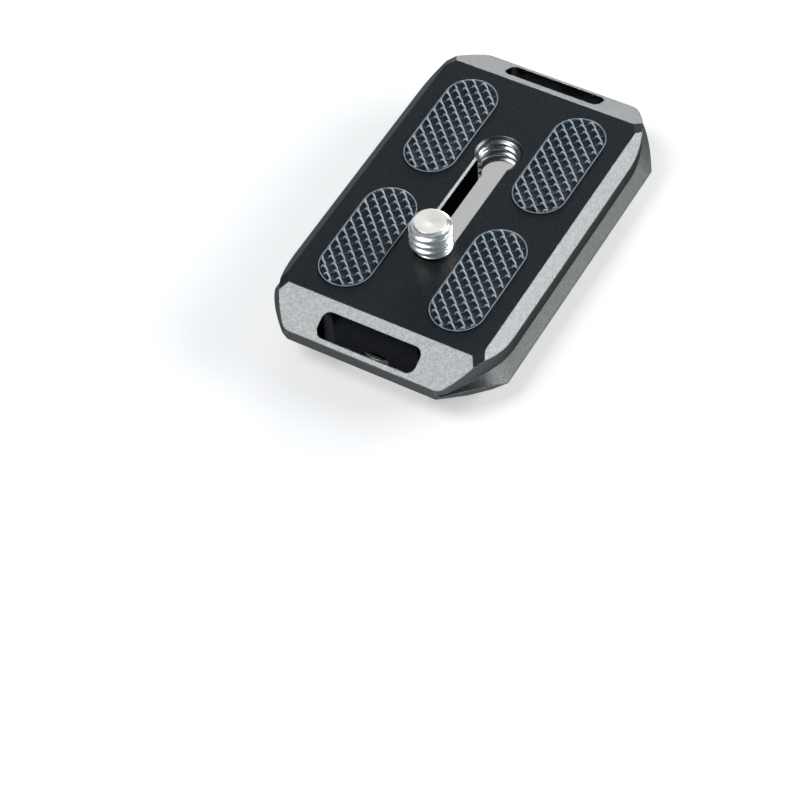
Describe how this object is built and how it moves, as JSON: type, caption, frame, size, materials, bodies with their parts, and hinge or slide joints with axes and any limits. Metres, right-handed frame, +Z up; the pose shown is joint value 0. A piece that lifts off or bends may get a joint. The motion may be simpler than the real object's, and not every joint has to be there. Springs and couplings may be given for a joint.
{
  "type": "quick release plate",
  "caption": "Camera quick release plate with dovetail sides, rubber grip pads, a sliding camera screw, a lengthwise slot, strap slots and stop screws.",
  "frame": {"origin": "middle of the plate, on the level that the two stop screw heads rest on", "axes": "+X across the plate towards the side that the picture shows, +Y along the plate from the camera screw's stop to the threaded hole, +Z up towards the camera"},
  "size_m": [0.038, 0.061, 0.0151],
  "materials": {
    "anodised_body": "bead-blasted, dark slate anodised",
    "grip_rubber": "matte with a raised diamond grid",
    "screw_steel": "turned, bright"
  },
  "bodies": {
    "plate": {"plate_body": "anodised_body", "pad_near_left": "grip_rubber", "pad_near_right": "grip_rubber", "pad_far_left": "grip_rubber", "pad_far_right": "grip_rubber", "stop_screw_near": "screw_steel", "stop_screw_far": "screw_steel"},
    "screw": {"camera_screw": "screw_steel"}
  },
  "joints": [
    {"name": "screw_slide", "type": "slide", "parent": "plate", "child": "screw", "axis": [0, 1, 0], "range_m": [0, 0.0202]}
  ]
}
